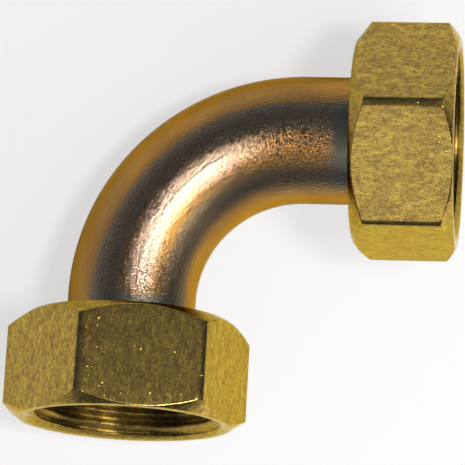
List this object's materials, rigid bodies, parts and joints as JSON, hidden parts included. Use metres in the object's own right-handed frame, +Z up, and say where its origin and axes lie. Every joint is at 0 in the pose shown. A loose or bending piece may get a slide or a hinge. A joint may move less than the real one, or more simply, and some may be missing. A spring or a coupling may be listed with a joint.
{
  "type": "threaded elbow",
  "caption": "Ninety degree copper tube elbow with a loose, internally threaded hexagonal union nut held by the rolled collar on each end.",
  "frame": {"origin": "middle of the bounding box, on the surface that the elbow lies on", "axes": "+Z up as the elbow lies, with both legs rising from the bend; in plan the right leg heads for +X and the lower leg for about -Y"},
  "size_m": [0.0692, 0.061, 0.0331],
  "materials": {
    "copper": "bright drawn copper",
    "brass": "machined brass",
    "seal": "moulded rubber"
  },
  "bodies": {
    "elbow": {"elbow_tube": "copper", "lower_flat_seal": "seal", "right_flat_seal": "seal"},
    "lower_nut": {"lower_union_nut": "brass"},
    "right_nut": {"right_union_nut": "brass"}
  },
  "joints": [
    {"name": "lower_nut_swivel", "type": "hinge", "parent": "elbow", "child": "lower_nut", "pos_m": [-0.01692, -0.01826, 0.0165], "axis": [-0.1168, -0.929, 0.3513], "continuous": true},
    {"name": "right_nut_swivel", "type": "hinge", "parent": "elbow", "child": "right_nut", "pos_m": [0.02299, 0.01346, 0.01645], "axis": [0.9489, 0, 0.3156], "continuous": true}
  ]
}
